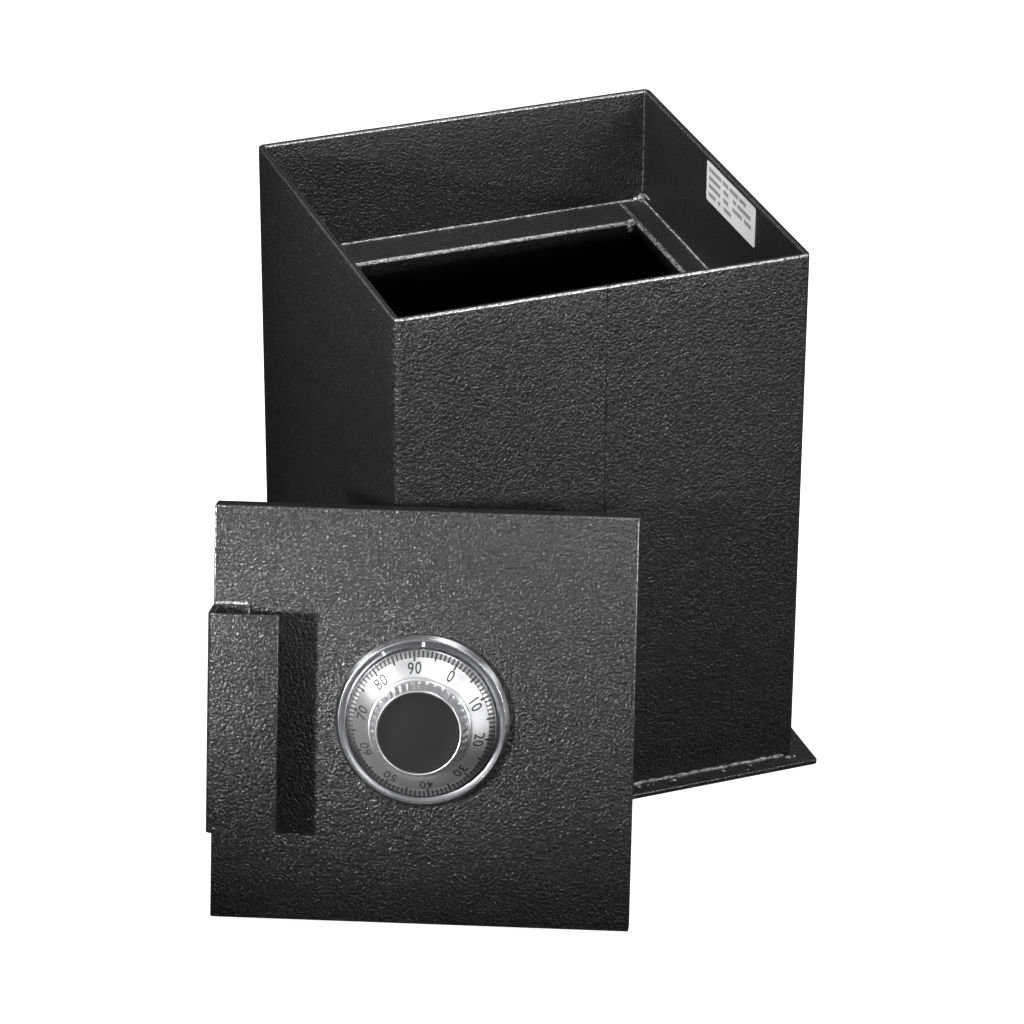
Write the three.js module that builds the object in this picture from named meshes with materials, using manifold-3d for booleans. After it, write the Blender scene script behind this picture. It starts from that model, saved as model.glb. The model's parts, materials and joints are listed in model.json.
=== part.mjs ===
// Square in-floor safe with a lift-out dial door.
// Millimetres, +Z up. Origin: centre of the underside of the base flange.
// -Y is the front of the body. The door stands on the ground and leans on the
// body's front left corner, touching it with its lock case.
import * as THREE from 'three';
import { mergeVertices } from 'three/addons/utils/BufferGeometryUtils.js';
import Module from 'manifold-3d';

const wasm = await Module();
wasm.setup();

// ---------------------------------------------------------------- dimensions
const BODY_W = 217;          // body width and depth, outside
const BODY_H = 290;          // ground to rim
const WALL = 3.2;            // body sheet
const BEND_R = 3.6;          // outside radius of the vertical bends
const BEND_IN = 0.8;         // inside radius
const FLANGE_W = 237;        // base flange, square
const FLANGE_T = 2.6;
const FLANGE_R = 2;          // corner radius of the flange
const SEAT_TOP = 227.4;      // upper face of the ledge
const SEAT_T = 8;            // ledge bar thickness
const SEAT_SIDE = 14;        // width of the left and right bars, from the wall
const SEAT_END = 25;         // width of the front and back bars, from the wall
const GAP = 0.3;             // clearance between neighbouring pieces

const DOOR_S = 205.5;        // door plate, square
const DOOR_T = 12.7;         // door plate thickness
const DOOR_YAW = -23.677;    // degrees about Z
const DOOR_LEAN = 18.485;    // degrees back from vertical
const DOOR_X = -123.1;       // middle of the door's rear lower edge on the ground
const DOOR_Y = -184.1;

const HANDLE_L = 108.5;      // handle length
const HANDLE_W = 34.3;       // front limb
const HANDLE_D = 25.4;       // stands this far off the door
const HANDLE_F = 17;         // rear limb, on the door
const HANDLE_T = 3;          // handle sheet
const HANDLE_R = 3.2;        // outside bend radius

const RING_R = 42.6;         // dial ring
const RING_H = 6.2;
const RING_BORE = 37.2;
const DIAL_R = 36.3;         // dial edge
const DIAL_Z0 = 4.3;         // dial heights above the door's front face
const DIAL_EDGE = 8.6;
const DIAL_BAND = 10.2;
const DIAL_TOP = 19.4;
const CONE_R = 33.2;
const KNOB_R = 25.4;
const KNOB_TOP_R = 20.9;
const KNOB_TOP = 30.2;
const CAP_R = 19.7;
const SPINDLE_R = 3.9;

const HARD_T = 5.6;          // hard plate
const CASE_X0 = -52.5;       // lock case, relative to the spindle
const CASE_X1 = 30.5;
const CASE_Z = 30.5;         // half height
const CASE_D = 27;           // depth without cover
const CASE_WALL = 2.8;
const COVER_T = 2;  
const WHEEL_R = 19.2;
const WHEEL_T = 1.8;
const WHEEL_PITCH = 3;
const BOLT_THROW = 12;       // travel of the lock bolt

const LABEL_L = 63.5;
const LABEL_H = 22;

// ------------------------------------------------------------------ materials
const hammer = () => new THREE.MeshStandardMaterial({ color: 0x2b2b2b, roughness: 0.42, metalness: 0.35 });
const chrome = () => new THREE.MeshStandardMaterial({ color: 0xc8c8c8, roughness: 0.18, metalness: 1 });
const satin = () => new THREE.MeshStandardMaterial({ color: 0xb4b4b4, roughness: 0.35, metalness: 1 });
const steel = () => new THREE.MeshStandardMaterial({ color: 0x8c8c8c, roughness: 0.4, metalness: 0.9 });
const zinc = () => new THREE.MeshStandardMaterial({ color: 0x9a9a98, roughness: 0.5, metalness: 0.8 });
const brass = () => new THREE.MeshStandardMaterial({ color: 0xb08d4a, roughness: 0.35, metalness: 0.9 });
const cap = () => new THREE.MeshStandardMaterial({ color: 0x3a3a3a, roughness: 0.7, metalness: 0 });
const paper = () => new THREE.MeshStandardMaterial({ color: 0xdcdcdc, roughness: 0.8, metalness: 0 });

// -------------------------------------------------------------------- helpers
const rad = (d) => (d * Math.PI) / 180;

// closed geometry -> manifold solid
function solid(geometry) {
  const g = geometry.clone();
  g.deleteAttribute('normal');
  g.deleteAttribute('uv');
  const m = mergeVertices(g, 1e-4);
  return new wasm.Manifold(new wasm.Mesh({
    numProp: 3,
    vertProperties: new Float32Array(m.attributes.position.array),
    triVerts: new Uint32Array(m.index.array),
  }));
}

// manifold solid -> geometry
function geometryOf(s) {
  const mesh = s.getMesh();
  const g = new THREE.BufferGeometry();
  g.setAttribute('position', new THREE.BufferAttribute(new Float32Array(mesh.vertProperties), 3));
  g.setIndex(new THREE.BufferAttribute(new Uint32Array(mesh.triVerts), 1));
  g.computeVertexNormals();
  return g;
}

const cut = (a, ...bs) => geometryOf(bs.reduce((s, b) => s.subtract(solid(b)), solid(a)));
const join = (a, ...bs) => geometryOf(bs.reduce((s, b) => s.add(solid(b)), solid(a)));

// box from its lowest and highest coordinates
function box(x0, x1, y0, y1, z0, z1) {
  const g = new THREE.BoxGeometry(x1 - x0, y1 - y0, z1 - z0);
  return g.translate((x0 + x1) / 2, (y0 + y1) / 2, (z0 + z1) / 2);
}

// cylinder along Y
function cylY(r, y0, y1, x = 0, z = 0, n = 32) {
  return new THREE.CylinderGeometry(r, r, y1 - y0, n).translate(x, (y0 + y1) / 2, z);
}

// cylinder along X
function cylX(r, x0, x1, y, z, n = 16) {
  return new THREE.CylinderGeometry(r, r, x1 - x0, n).rotateZ(Math.PI / 2).translate((x0 + x1) / 2, y, z);
}

// outline in X,Y extruded along Z
function prismZ(shape, z0, z1, curveSegments = 6) {
  return new THREE.ExtrudeGeometry(shape, { depth: z1 - z0, bevelEnabled: false, curveSegments }).translate(0, 0, z0);
}

// outline in X,Z extruded along Y
function prismY(shape, y0, y1, curveSegments = 8) {
  const g = new THREE.ExtrudeGeometry(shape, { depth: y1 - y0, bevelEnabled: false, curveSegments });
  return g.rotateX(Math.PI / 2).translate(0, y1, 0);
}

function polygon(points) {
  return new THREE.Shape(points.map(([x, y]) => new THREE.Vector2(x, y)));
}

function roundedSquare(Path, w, r) {
  const h = w / 2;
  const p = new Path();
  p.moveTo(-h + r, -h);
  p.lineTo(h - r, -h);
  p.absarc(h - r, -h + r, r, -Math.PI / 2, 0);
  p.lineTo(h, h - r);
  p.absarc(h - r, h - r, r, 0, Math.PI / 2);
  p.lineTo(-h + r, h);
  p.absarc(-h + r, h - r, r, Math.PI / 2, Math.PI);
  p.lineTo(-h, -h + r);
  p.absarc(-h + r, -h + r, r, Math.PI, 1.5 * Math.PI);
  return p;
}

// revolve about Y a profile of [radius, y] points that starts and ends on the
// axis, or closes on itself
function turned(points, n = 48) {
  const g = new THREE.LatheGeometry(points.map(([r, y]) => new THREE.Vector2(r, y)), n);
  return geometryOf(orient(solid2(g)));
}
function solid2(g) {
  g.deleteAttribute('normal');
  g.deleteAttribute('uv');
  return mergeVertices(g, 1e-4);
}
// make the faces point outward whatever way round the profile ran
function orient(g) {
  const p = g.attributes.position;
  let idx = Array.from(g.index.array);
  // drop the zero-area triangles on the axis
  const clean = [];
  for (let i = 0; i < idx.length; i += 3) {
    const [a, b, c] = [idx[i], idx[i + 1], idx[i + 2]];
    if (a !== b && b !== c && a !== c) clean.push(a, b, c);
  }
  idx = clean;
  let v = 0;
  const A = new THREE.Vector3();
  const B = new THREE.Vector3();
  const C = new THREE.Vector3();
  for (let i = 0; i < idx.length; i += 3) {
    A.fromBufferAttribute(p, idx[i]);
    B.fromBufferAttribute(p, idx[i + 1]);
    C.fromBufferAttribute(p, idx[i + 2]);
    v += A.dot(B.cross(C));
  }
  if (v < 0) for (let i = 0; i < idx.length; i += 3) [idx[i], idx[i + 1]] = [idx[i + 1], idx[i]];
  return new wasm.Manifold(new wasm.Mesh({
    numProp: 3,
    vertProperties: new Float32Array(p.array),
    triVerts: new Uint32Array(idx),
  }));
}

// screw along Y: the head lies on the -toward side of y, the shank runs from y towards the tip
function screwY(x, z, y, tip, headR, headT, shankR) {
  const s = Math.sign(tip - y);
  return turned([[0, y - s * headT], [headR * 0.72, y - s * headT], [headR, y - s * headT * 0.45], [headR, y], [shankR, y], [shankR, tip - s * 1], [shankR * 0.6, tip], [0, tip]], 16)
    .translate(x, 0, z);
}

const safe = new THREE.Group();
function piece(parent, name, geometry, material) {
  const mesh = new THREE.Mesh(geometry, material);
  mesh.name = name;
  parent.add(mesh);
  return mesh;
}

// ----------------------------------------------------------------------- body
{
  const outline = roundedSquare(THREE.Shape, BODY_W, BEND_R);
  outline.holes.push(roundedSquare(THREE.Path, BODY_W - 2 * WALL, BEND_IN));
  piece(safe, 'body_shell', prismZ(outline, FLANGE_T, BODY_H, 6), hammer());
  piece(safe, 'base_flange', prismZ(roundedSquare(THREE.Shape, FLANGE_W, FLANGE_R), 0, FLANGE_T, 4), hammer());

  const inner = BODY_W / 2 - WALL - 0.2;      // ledge bars stop just short of the wall
  const z0 = SEAT_TOP - SEAT_T;
  const xs = BODY_W / 2 - WALL - SEAT_SIDE;
  const ys = BODY_W / 2 - WALL - SEAT_END;
  const c = BEND_IN;                          // corner cut that clears the bend
  const side = (s) => polygon([[s * xs, -inner], [s * (inner - c), -inner], [s * inner, -inner + c], [s * inner, inner - c], [s * (inner - c), inner], [s * xs, inner]]);
  piece(safe, 'seat_bar_right', prismZ(side(1), z0, SEAT_TOP), hammer());
  piece(safe, 'seat_bar_left', prismZ(side(-1), z0, SEAT_TOP), hammer());
  piece(safe, 'seat_bar_front', box(-xs + 0.2, xs - 0.2, -inner, -ys, z0, SEAT_TOP), hammer());
  piece(safe, 'seat_bar_back', box(-xs + 0.2, xs - 0.2, ys, inner, z0, SEAT_TOP), hammer());

  const lx = BODY_W / 2 - WALL;
  piece(safe, 'serial_label', box(lx - 0.35, lx - 0.05, -13.9 - LABEL_L / 2, -13.9 + LABEL_L / 2, 276.6 - LABEL_H / 2, 276.6 + LABEL_H / 2), paper());
}

// ----------------------------------------------------------------------- door
// Door frame: origin at the middle of the plate's rear face, +X to the right seen
// from the dial side, +Y into the safe, +Z up the plate.
const door = new THREE.Group();
{
  const yaw = rad(DOOR_YAW);
  const lean = rad(DOOR_LEAN);
  door.rotation.set(-lean, 0, yaw, 'ZYX');
  const h = DOOR_S / 2;
  door.position.set(
    DOOR_X - Math.sin(yaw) * Math.sin(lean) * h,
    DOOR_Y + Math.cos(yaw) * Math.sin(lean) * h,
    0.05 + Math.cos(lean) * h,
  );
  safe.add(door);
}
const H = DOOR_S / 2;
const front = (h) => -DOOR_T - h;             // Y of a height above the door's front face
const caseScrews = [[-46.5, 24.5], [24.5, 24.5], [24.5, -24.5]];
const coverScrews = [[-46.5, -24.5], [0, -25.4]];
const yCase = 2 * GAP + HARD_T;               // outside of the case floor
const yFloor = yCase + 3;                     // inside of the case floor
const yRim = yCase + CASE_D;                  // where the cover sits
const ringScrews = [[28, 0], [-28, 0]];
const guideX = -80;
const guideScrews = [[guideX, 33.5], [guideX, -33.5]];
const hookScrews = [[64, 18], [64, -18]];

{
  // plate with its drilled holes
  const e = 0.8;
  const blank = prismY((() => {
    const s = new THREE.Shape();
    s.moveTo(-H + e, -H); s.lineTo(H - e, -H); s.lineTo(H, -H + e); s.lineTo(H, H - e);
    s.lineTo(H - e, H); s.lineTo(-H + e, H); s.lineTo(-H, H - e); s.lineTo(-H, -H + e);
    return s;
  })(), -DOOR_T, 0);
  piece(door, 'door_plate', cut(
    blank,
    cylY(5.2, -DOOR_T - 1, 1, 0, 0, 24),
    ...ringScrews.map(([x, z]) => cylY(2.3, -DOOR_T - 1, -3, x, z, 12)),
    ...caseScrews.map(([x, z]) => cylY(3.4, -9, 1, x, z, 12)),
    ...guideScrews.map(([x, z]) => cylY(2.4, -8, 1, x, z, 12)),
    ...hookScrews.map(([x, z]) => cylY(3.4, -9, 1, x, z, 12)),
  ), hammer());

  // handle: a channel open to the right, its rear limb on the door
  const x0 = -H;
  const yF = front(HANDLE_D);
  const yR = front(GAP);
  const R = HANDLE_R;
  const t = HANDLE_T;
  const r = R - t;
  const s = new THREE.Shape();
  s.moveTo(x0 + HANDLE_W, yF);
  s.lineTo(x0 + HANDLE_W, yF + t);
  s.lineTo(x0 + R, yF + t);
  s.absarc(x0 + R, yF + R, r, 1.5 * Math.PI, Math.PI, true);
  s.lineTo(x0 + t, yR - R);
  s.absarc(x0 + R, yR - R, r, Math.PI, 0.5 * Math.PI, true);
  s.lineTo(x0 + HANDLE_F, yR - t);
  s.lineTo(x0 + HANDLE_F, yR);
  s.lineTo(x0 + R, yR);
  s.absarc(x0 + R, yR - R, R, 0.5 * Math.PI, Math.PI, false);
  s.lineTo(x0, yF + R);
  s.absarc(x0 + R, yF + R, R, Math.PI, 1.5 * Math.PI, false);
  piece(door, 'handle', prismZ(s, -HANDLE_L / 2, HANDLE_L / 2, 5), hammer());

  // dial ring with its floor under the dial
  piece(door, 'dial_ring', cut(turned([
    [5.6, front(GAP)], [RING_R, front(GAP)], [RING_R, front(3)], [RING_R - 0.5, front(4.2)], [40.4, front(RING_H)],
    [40.1, front(RING_H - 0.5)], [39.8, front(RING_H - 0.2)], [RING_BORE + 0.4, front(RING_H - 0.6)], [RING_BORE, front(RING_H - 1)],
    [RING_BORE, front(2)], [5.6, front(2)], [5.6, front(GAP)],
  ], 56), ...ringScrews.map(([x, z]) => cylY(2.3, front(3), front(0), x, z, 12))), chrome());
  ringScrews.forEach(([x, z], i) => piece(door, `dial_ring_screw_${i + 1}`, screwY(x, z, front(2.2), -4.5, 3.6, 1.6, 1.9), steel()));

  // hard plate, lock case and cover
  piece(door, 'hard_plate', cut(
    box(CASE_X0, CASE_X1, GAP, GAP + HARD_T, -CASE_Z, CASE_Z),
    cylY(5.2, 0, HARD_T + 1, 0, 0, 24),
    ...caseScrews.map(([x, z]) => cylY(3.4, 0, HARD_T + 1, x, z, 12)),
  ), steel());

  const w = CASE_WALL;
  const inX0 = CASE_X0 + w;
  const inX1 = CASE_X1 - w;
  const inZ = CASE_Z - w;
  let shell = solid(box(CASE_X0, CASE_X1, yCase, yRim, -CASE_Z, CASE_Z))
    .subtract(solid(box(inX0, inX1, yFloor, yRim + 1, -inZ, inZ)));
  for (const [x, z] of caseScrews) shell = shell.add(solid(cylY(4.6, yFloor - 0.5, yRim, x, z, 16)).intersect(solid(box(CASE_X0, CASE_X1, yCase, yRim, -CASE_Z, CASE_Z))));
  for (const [x, z] of coverScrews) shell = shell.add(solid(cylY(3.6, yFloor - 0.5, yRim, x, z, 16)).intersect(solid(box(CASE_X0, CASE_X1, yCase, yRim, -CASE_Z, CASE_Z))));
  shell = shell.add(solid(cylY(8, yFloor - 0.5, yFloor + 6.2, 0, 0, 24)));
  for (const [x, z] of caseScrews) shell = shell.subtract(solid(cylY(3.4, yCase - 1, yRim + 1, x, z, 12)));
  for (const [x, z] of coverScrews) shell = shell.subtract(solid(cylY(2.0, yRim - 12, yRim + 1, x, z, 12)));
  shell = shell.subtract(solid(cylY(4.4, yCase - 1, yFloor + 8, 0, 0, 24)));
  shell = shell.subtract(solid(box(CASE_X0 - 1, inX0 + 1, yFloor + 0.3, yFloor + 10.4, -13.1, 13.1)));
  piece(door, 'lock_case', geometryOf(shell), zinc());

  const postEnd = yRim - 10.7;
  let lid = solid(box(CASE_X0, CASE_X1, yRim + GAP, yRim + GAP + COVER_T, -CASE_Z, CASE_Z))
    .add(solid(cylY(7, postEnd, yRim + GAP + 1, 0, 0, 32)))
    .subtract(solid(cylY(4.4, postEnd - 1, yRim + GAP + COVER_T + 1, 0, 0, 24)));
  for (const [x, z] of caseScrews) lid = lid.subtract(solid(cylY(5.5, yRim, yRim + 5, x, z, 20))).subtract(solid(box(Math.min(x, Math.sign(x) * 60), Math.max(x, Math.sign(x) * 60), yRim, yRim + 5, Math.min(z, Math.sign(z) * 40), Math.max(z, Math.sign(z) * 40))));
  for (const [x, z] of coverScrews) lid = lid.subtract(solid(cylY(2.1, yRim, yRim + 5, x, z, 12)));
  piece(door, 'lock_cover', geometryOf(lid), zinc());
  coverScrews.forEach(([x, z], i) => piece(door, `cover_screw_${i + 1}`, screwY(x, z, yRim + 2 * GAP + COVER_T, yRim - 8, 3.4, 2.2, 1.7), steel()));
  caseScrews.forEach(([x, z], i) => piece(door, `case_screw_${i + 1}`, screwY(x, z, yRim + GAP, -7.5, 4.8, 2.8, 3), steel()));

  // fixed washers between the wheels, and the clip that keeps the wheels on the post
  const yW = (i) => yRim - 3.4 + 1.8 - WHEEL_T - i * WHEEL_PITCH;   // nearer face of wheel i = 0, 1, 2
  const ring = (r0, r1, y0, y1, n = 24) => turned([[r0, y0], [r1, y0], [r1, y1], [r0, y1], [r0, y0]], n);
  piece(door, 'wheel_spacer_1', ring(7.3, 12, yW(0) - 0.9, yW(0) - 0.3), brass());
  piece(door, 'wheel_spacer_2', ring(7.3, 12, yW(1) - 0.9, yW(1) - 0.3), brass());
  piece(door, 'wheel_clip', ring(7.15, 9.4, postEnd + 0.2, yW(2) - 0.3), steel());

  // wheels, each with its gate and a drive lug on the face towards the next wheel
  const gates = [40, 165, 285];
  for (let i = 0; i < 3; i++) {
    const y = yW(i);
    let s3 = solid(ring(7.35, WHEEL_R, y, y + WHEEL_T, 40))
      .subtract(solid(box(-2.4, 2.4, y - 1, y + WHEEL_T + 1, WHEEL_R - 5, WHEEL_R + 2).rotateY(rad(gates[i]))));
    s3 = s3.add(solid(box(13.2, 16.2, y + WHEEL_T - 0.2, y + WHEEL_T + (i === 0 ? 0.7 : 0.8), -1.3, 1.3).rotateY(rad(20 + 130 * i))));
    piece(door, `wheel_${i + 1}`, geometryOf(s3), brass());
  }

  // dial, knob, spindle, key and drive cam turn together
  piece(door, 'dial', turned([
    [0, front(15.5)], [4.2, front(15.5)], [4.2, front(DIAL_Z0)], [7, front(DIAL_Z0)], [7, front(16.6)], [23.6, front(16.6)],
    [31.6, front(7.6)], [34.2, front(DIAL_Z0)], [DIAL_R, front(DIAL_Z0)], [DIAL_R, front(DIAL_EDGE)], [CONE_R, front(DIAL_BAND)],
    [KNOB_R + 0.1, front(DIAL_TOP)], [0, front(DIAL_TOP)],
  ], 56), satin());
  piece(door, 'dial_knob', turned([
    [0, front(DIAL_TOP + GAP)], [KNOB_R, front(DIAL_TOP + GAP)], [KNOB_R, front(DIAL_TOP + 1.4)], [KNOB_R - 1.6, front(DIAL_TOP + 2)],
    [KNOB_TOP_R, front(KNOB_TOP - 0.5)], [KNOB_TOP_R - 0.4, front(KNOB_TOP)], [CAP_R + 0.3, front(KNOB_TOP)],
    [CAP_R + 0.3, front(KNOB_TOP - 1.6)], [0, front(KNOB_TOP - 1.6)],
  ], 48), chrome());
  piece(door, 'knob_cap', turned([
    [0, front(KNOB_TOP - 1.3)], [CAP_R, front(KNOB_TOP - 1.3)], [CAP_R, front(KNOB_TOP - 0.3)], [CAP_R - 0.4, front(KNOB_TOP - 0.1)], [0, front(KNOB_TOP - 0.1)],
  ], 40), cap());
  const camBack = postEnd - 0.35;
  const camFront = camBack - 3.6;
  piece(door, 'spindle', cut(cylY(SPINDLE_R, front(15.2), camBack + 1.2, 0, 0, 24), box(2.4, 6, camFront - 6, camBack + 2, -1.1, 1.1)), steel());
  piece(door, 'spline_key', box(2.6, 5.2, camFront - 1.5, camBack - 0.2, -0.9, 0.9), brass());
  piece(door, 'drive_cam', geometryOf(
    solid(ring(4.15, WHEEL_R + 0.3, camFront, camBack, 48))
      .add(solid(ring(4.15, 7.6, camFront - 2.2, camFront + 0.5, 24)))
      .subtract(solid(box(0, 5.4, camFront - 4, camBack + 1, -1.1, 1.1)))
      .subtract(solid(box(-3.2, 3.2, camFront - 1, camBack + 1, WHEEL_R - 4.2, WHEEL_R + 2).rotateY(rad(-62)))),
  ), brass());

  // lock bolt with the bar that goes under the ledge
  const yB0 = yFloor + 0.6;
  const yB1 = yB0 + 8.4;
  const bx = CASE_X0 - 1.3 - BOLT_THROW;      // outer end of the bolt when thrown
  const lever0 = [-41, 4];                    // lever pivot
  piece(door, 'lock_bolt', cut(
    box(bx, -24, yB0, yB1, -12.7, 12.7),
    cylY(2.8, yB1 - 7, yB1 + 1, lever0[0], lever0[1], 12),
    cylX(2.0, bx - 1, bx + 10, (yB0 + yB1) / 2, 8, 12),
    cylX(2.0, bx - 1, bx + 10, (yB0 + yB1) / 2, -8, 12),
  ), brass());
  const fx = bx - GAP;                        // right face of the bar's flange
  piece(door, 'bolt_bar', cut(
    join(box(-100, fx, yB0, yB0 + 4.8, -26, 26), box(fx - 3.2, fx, yB0, yB1, -26, 26)),
    box(-84, fx - 3.2, yB0 - 1, yB0 + 6, -11.8, 11.8),
    cylX(2.1, fx - 5, fx + 1, (yB0 + yB1) / 2, 8, 12),
    cylX(2.1, fx - 5, fx + 1, (yB0 + yB1) / 2, -8, 12),
  ), steel());
  [8, -8].forEach((z, i) => {
    const hx = fx - 3.2 - GAP;
    const g = join(cylX(3.3, hx - 2.4, hx, (yB0 + yB1) / 2, z, 16), cylX(1.7, hx - 1, bx + 8, (yB0 + yB1) / 2, z, 12));
    piece(door, `bolt_bar_screw_${i + 1}`, g, steel());
  });

  // lever with its fence over the wheels; the nose rides above the cam's rim
  const yL0 = yB1 + 0.4;
  const yL1 = Math.min(yL0 + 3, camBack);
  const reach = WHEEL_R + 0.8;
  const arm = polygon([[-46, 1.5], [-43.4, -0.8], [-38.6, -0.8], [-35.5, 1.5], [-32, 8], [-27, 15], [-21.5, 18.8], [-16, reach + 0.2], [6, reach + 0.2], [6, 24.4], [-12, 24.4], [-22, 23], [-31, 19.3], [-41, 10.6], [-45.2, 7]]);
  piece(door, 'lever', geometryOf(
    solid(prismY(arm, yL0, yL1, 4))
      .add(solid(box(-4, 1.6, yL1 - 1, yW(0) + WHEEL_T, reach + 0.3, reach + 3.4)))
      .subtract(solid(cylY(2.9, yL0 - 1, yL1 + 1, lever0[0], lever0[1], 20))),
  ), brass());
  piece(door, 'lever_screw', turned([[0, yL1 + 1.9], [4, yL1 + 1.9], [4, yL1 + 0.4], [2.5, yL1 + 0.4], [2.5, yB1 - 5.5], [0, yB1 - 5.5]], 20).translate(lever0[0], 0, lever0[1]), steel());
  const coil = new THREE.TorusGeometry(5.3, 0.6, 6, 18).rotateX(Math.PI / 2).translate(lever0[0], yL1 + 1.1, lever0[1]);
  piece(door, 'lever_spring', join(coil, box(lever0[0] + 4.6, lever0[0] + 5.7, yL1 + 0.6, yL1 + 1.6, lever0[1], lever0[1] + 10), box(lever0[0] - 5.8, lever0[0] - 4.7, yL1 + 0.6, yL1 + 1.6, lever0[1] - 8, lever0[1])), steel());

  // keeper of the bolt bar
  const gy = yB0 + 4.8 + GAP;
  const gx0 = guideX - 4;
  const gx1 = guideX + 4;
  const strap = new THREE.Shape([[-38.5, GAP], [-26.4 - 3, GAP], [-26.4 - 3, GAP], [-26.4, GAP], [-26.4, gy], [26.4, gy], [26.4, GAP], [38.5, GAP], [38.5, GAP + 3], [29.4, GAP + 3], [29.4, gy + 3], [-29.4, gy + 3], [-29.4, GAP + 3], [-38.5, GAP + 3]]
    .filter((p, i, a) => i === 0 || p[0] !== a[i - 1][0] || p[1] !== a[i - 1][1]).map(([z, y]) => new THREE.Vector2(z, y)));
  // outline is Z,Y: extrude along X
  const strapG = new THREE.ExtrudeGeometry(strap, { depth: gx1 - gx0, bevelEnabled: false }).rotateY(Math.PI / 2);
  strapG.scale(1, 1, -1);
  // mirrored, so the winding is turned back
  const fixed = solid2(strapG);
  const bracket = orient(fixed).translate([gx0, 0, 0]);
  let g2 = bracket;
  for (const [x, z] of guideScrews) g2 = g2.subtract(solid(cylY(2.4, -1, GAP + 4, x, z, 12)));
  piece(door, 'bolt_guide', geometryOf(g2), steel());
  guideScrews.forEach(([x, z], i) => piece(door, `guide_screw_${i + 1}`, screwY(x, z, 2 * GAP + 3, -6.5, 3.6, 2.2, 2), steel()));

  // fixed hook under the right ledge
  const hy = yB0;
  const hook = polygon([[52, GAP], [86, GAP], [86, hy], [100, hy], [100, hy + 4.8], [81, hy + 4.8], [81, GAP + 4.8], [52, GAP + 4.8]]);
  piece(door, 'hook_bar', cut(prismZ(hook, -30, 30), ...hookScrews.map(([x, z]) => cylY(3.4, -1, GAP + 6, x, z, 12))), steel());
  hookScrews.forEach(([x, z], i) => piece(door, `hook_screw_${i + 1}`, screwY(x, z, 2 * GAP + 4.8, -7.5, 5, 3, 3), steel()));
}

export default safe;
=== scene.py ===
import json
import math
import random

import bmesh
import bpy
import numpy as np
from mathutils import Matrix, Vector, noise


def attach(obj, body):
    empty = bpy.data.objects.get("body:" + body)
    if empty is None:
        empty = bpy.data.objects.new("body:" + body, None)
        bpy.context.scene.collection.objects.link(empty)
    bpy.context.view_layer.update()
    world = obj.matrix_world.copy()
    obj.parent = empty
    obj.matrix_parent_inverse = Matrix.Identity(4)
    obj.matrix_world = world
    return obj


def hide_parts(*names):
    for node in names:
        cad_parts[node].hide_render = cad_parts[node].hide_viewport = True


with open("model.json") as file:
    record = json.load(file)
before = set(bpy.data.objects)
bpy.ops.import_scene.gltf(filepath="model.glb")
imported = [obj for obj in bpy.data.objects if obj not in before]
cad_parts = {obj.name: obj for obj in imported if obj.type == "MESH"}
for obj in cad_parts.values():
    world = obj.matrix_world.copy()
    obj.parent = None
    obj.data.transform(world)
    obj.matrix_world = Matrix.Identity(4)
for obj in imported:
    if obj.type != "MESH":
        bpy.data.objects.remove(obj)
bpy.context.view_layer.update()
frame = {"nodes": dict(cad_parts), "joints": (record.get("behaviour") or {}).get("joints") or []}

MM = 0.001
RNG = random.Random(4)
NODES = frame["nodes"]

# ------------------------------------------------------------------ frames
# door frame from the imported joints: right, up, outward, and the middle of the rear face
JOINT = {j["name"]: j for j in frame["joints"]}
OUT = Vector(JOINT["dial_turn"]["axis"]).normalized()
RIGHT = Vector(JOINT["bolt_slide"]["axis"]).normalized()
UP = OUT.cross(RIGHT).normalized()
REAR = Vector(JOINT["dial_turn"]["pos_m"]) - OUT * 0.020
T_DOOR = 12.7


def matrix(x, y, z, o):
    return Matrix(((x[0], y[0], z[0], o[0]), (x[1], y[1], z[1], o[1]), (x[2], y[2], z[2], o[2]), (0, 0, 0, 1)))


M_DOOR = matrix(RIGHT, -OUT, UP, REAR)                      # +Y runs into the safe
M_FACE = matrix(RIGHT, UP, OUT, REAR + OUT * T_DOOR * MM)   # +Z stands off the front face
M_WORLD = Matrix.Identity(4)

# --------------------------------------------------------------- materials


def new_material(name):
    m = bpy.data.materials.new(name)
    m.use_nodes = True
    nt = m.node_tree
    nt.nodes.clear()
    out = nt.nodes.new("ShaderNodeOutputMaterial")
    bsdf = nt.nodes.new("ShaderNodeBsdfPrincipled")
    nt.links.new(bsdf.outputs[0], out.inputs[0])
    return m, nt, bsdf


def node(nt, kind, **values):
    n = nt.nodes.new(kind)
    for k, v in values.items():
        if hasattr(n, k):
            setattr(n, k, v)
        else:
            n.inputs[k.replace("_", " ")].default_value = v
    return n


def noise_tex(nt, vec, scale, detail=2.0, rough=0.5, distortion=0.0):
    n = nt.nodes.new("ShaderNodeTexNoise")
    n.inputs["Scale"].default_value = scale
    n.inputs["Detail"].default_value = detail
    n.inputs["Roughness"].default_value = rough
    n.inputs["Distortion"].default_value = distortion
    nt.links.new(vec, n.inputs["Vector"])
    return n.outputs["Fac"]


def voronoi(nt, vec, scale, smooth=0.6):
    n = nt.nodes.new("ShaderNodeTexVoronoi")
    n.feature = "SMOOTH_F1"
    n.inputs["Scale"].default_value = scale
    n.inputs["Smoothness"].default_value = smooth
    nt.links.new(vec, n.inputs["Vector"])
    return n.outputs["Distance"]


def math_node(nt, op, a, b=None, clamp=False):
    n = nt.nodes.new("ShaderNodeMath")
    n.operation = op
    n.use_clamp = clamp
    for i, v in enumerate((a, b)):
        if v is None:
            continue
        if isinstance(v, (int, float)):
            n.inputs[i].default_value = v
        else:
            nt.links.new(v, n.inputs[i])
    return n.outputs[0]


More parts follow.
